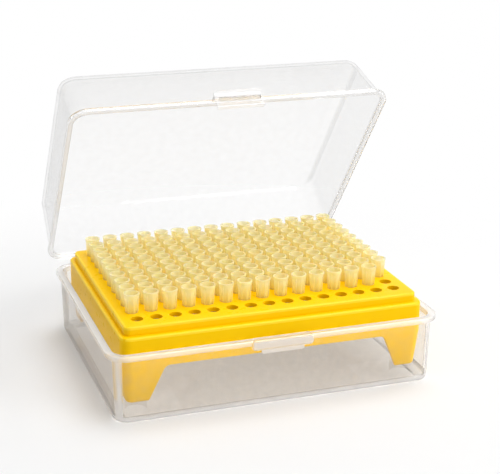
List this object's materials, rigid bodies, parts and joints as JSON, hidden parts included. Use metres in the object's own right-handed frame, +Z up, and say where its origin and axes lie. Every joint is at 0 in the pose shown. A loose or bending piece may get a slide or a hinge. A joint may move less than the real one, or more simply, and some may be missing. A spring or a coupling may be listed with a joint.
{
  "type": "pipette tip box",
  "caption": "Clear hinged box standing open, with a stepped rack on corner legs and rows of pipette tips hanging in its holes; the front row of holes is empty.",
  "frame": {"origin": "middle of the tub's underside, on the surface it stands on", "axes": "+Z up, +X to the right as seen from the latch side, +Y to the back, towards the hinges and the open lid"},
  "size_m": [0.161, 0.1715, 0.1375],
  "materials": {
    "clear_tub": "clear moulded plastic, polished",
    "clear_lid": "clear moulded plastic, polished, thin",
    "yellow_rack": "opaque yellow moulded plastic, satin gloss",
    "tip_plastic": "translucent natural moulded plastic, faintly milky"
  },
  "bodies": {
    "base": {"base_tub": "clear_tub", "tip_rack": "yellow_rack", "tips_row_02": "tip_plastic", "tips_row_03": "tip_plastic", "tips_row_04": "tip_plastic", "tips_row_05": "tip_plastic", "tips_row_06": "tip_plastic", "tips_row_07": "tip_plastic", "tips_row_08": "tip_plastic", "tips_row_09": "tip_plastic", "tips_row_10": "tip_plastic", "tips_row_11": "tip_plastic"},
    "lid": {"lid": "clear_lid"}
  },
  "joints": [
    {"name": "lid_hinge", "type": "hinge", "parent": "base", "child": "lid", "pos_m": [0, 0.0679, 0.0127], "axis": [-1, 0, 0], "range_deg": [-51.4, 53]}
  ]
}
